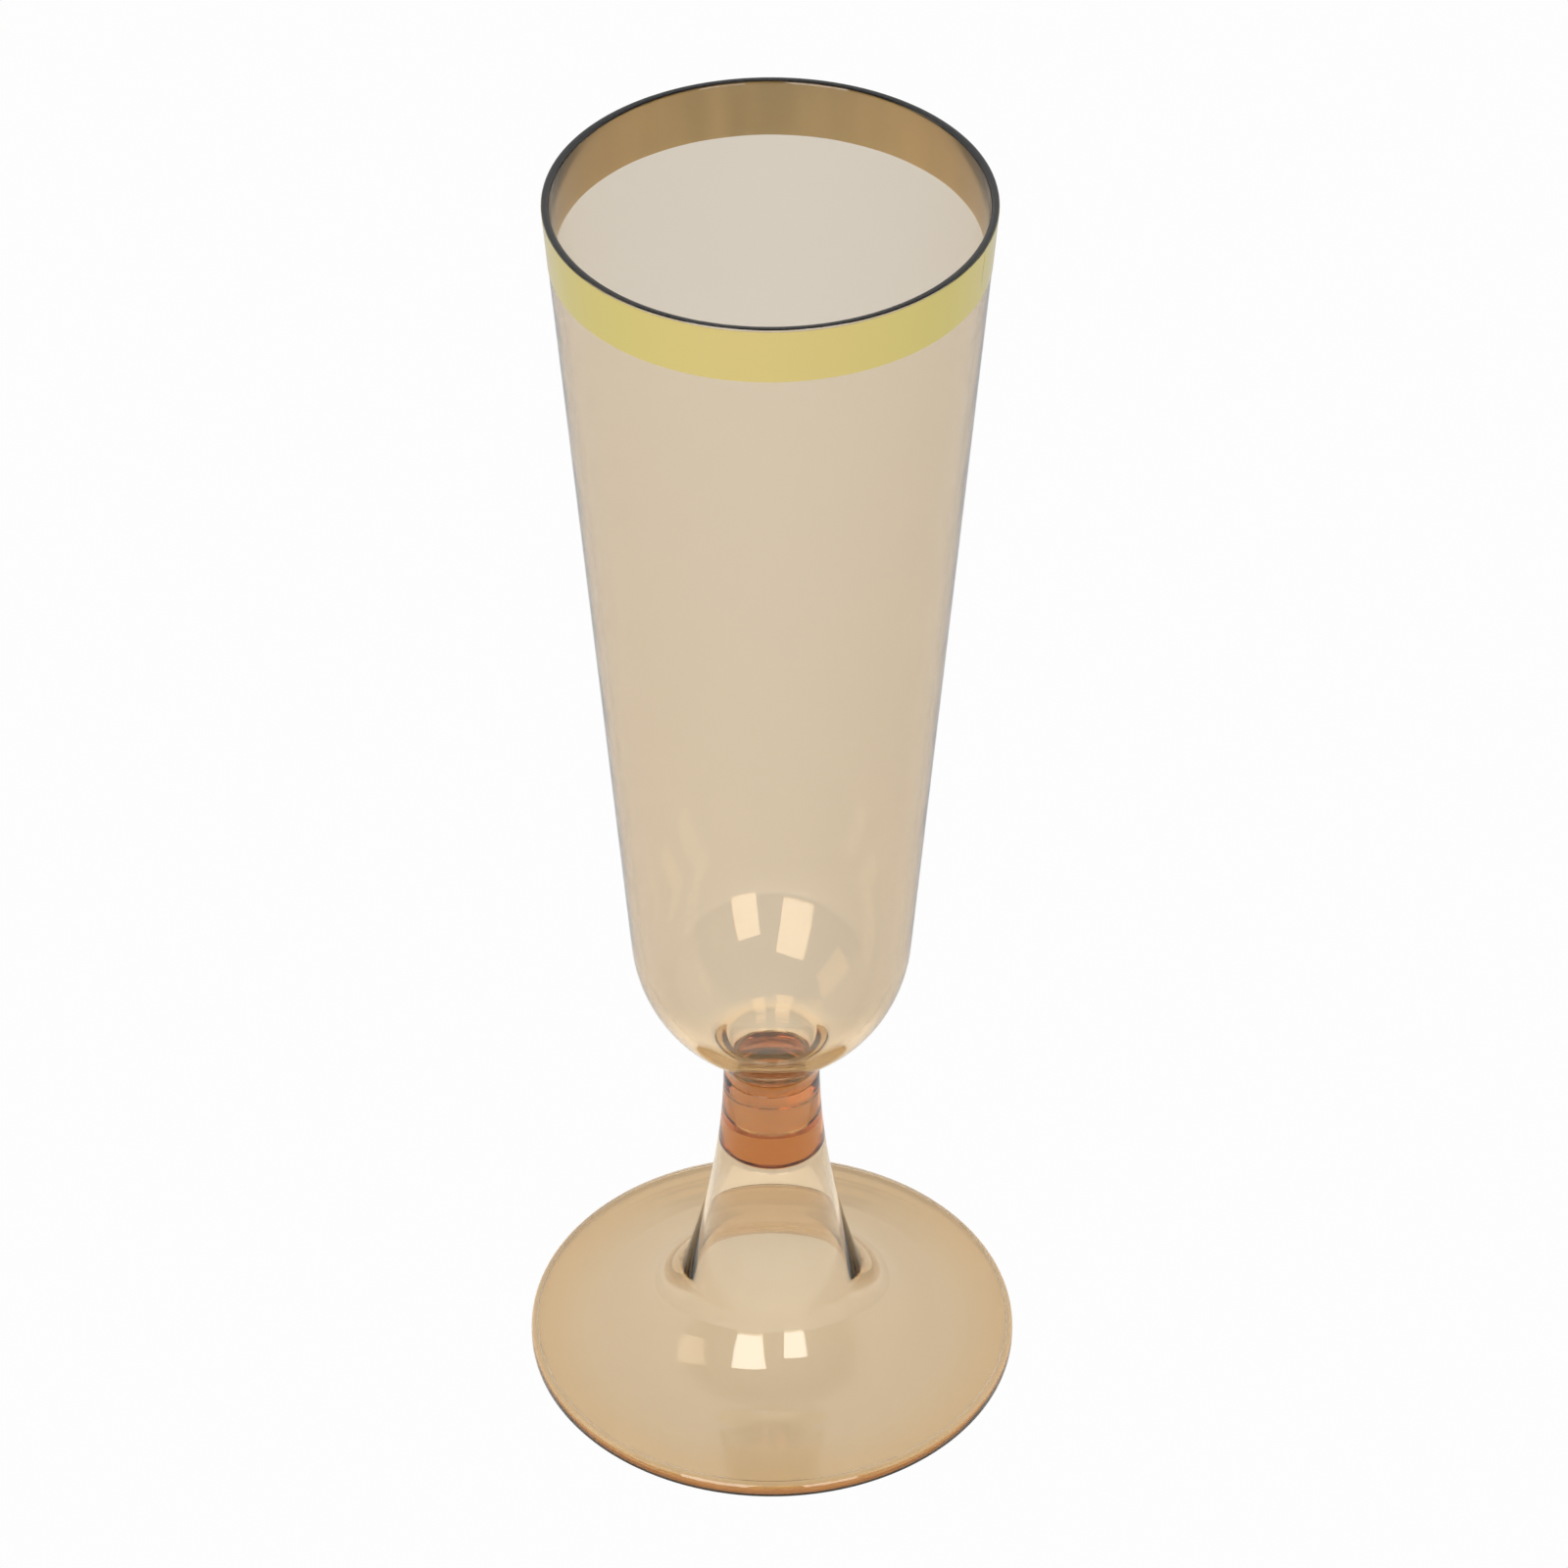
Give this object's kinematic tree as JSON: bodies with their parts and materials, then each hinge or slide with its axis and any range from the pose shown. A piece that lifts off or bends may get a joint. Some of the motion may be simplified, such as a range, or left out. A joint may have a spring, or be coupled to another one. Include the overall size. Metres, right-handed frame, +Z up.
{
  "type": "champagne flute",
  "caption": "Tall conical flute with a rounded bottom, gold band round the lip, and a push-fit hollow stem flaring into a flat round foot.",
  "frame": {"origin": "centre of the foot, on the surface the flute stands on", "axes": "+Z up along the flute's axis, from the foot to the lip"},
  "size_m": [0.0615, 0.0614, 0.172],
  "materials": {
    "amber_polystyrene": "clear amber-tinted moulded polystyrene, polished mould",
    "gold_foil": "hot-stamped metallised gold foil, bright"
  },
  "bodies": {
    "base": {"base": "amber_polystyrene"},
    "bowl": {"bowl": "amber_polystyrene", "gold_rim_band": "gold_foil"}
  },
  "joints": [
    {"name": "bowl_pull_off", "type": "slide", "parent": "base", "child": "bowl", "axis": [0, 0, 1], "range_m": [0, 0.012]}
  ]
}
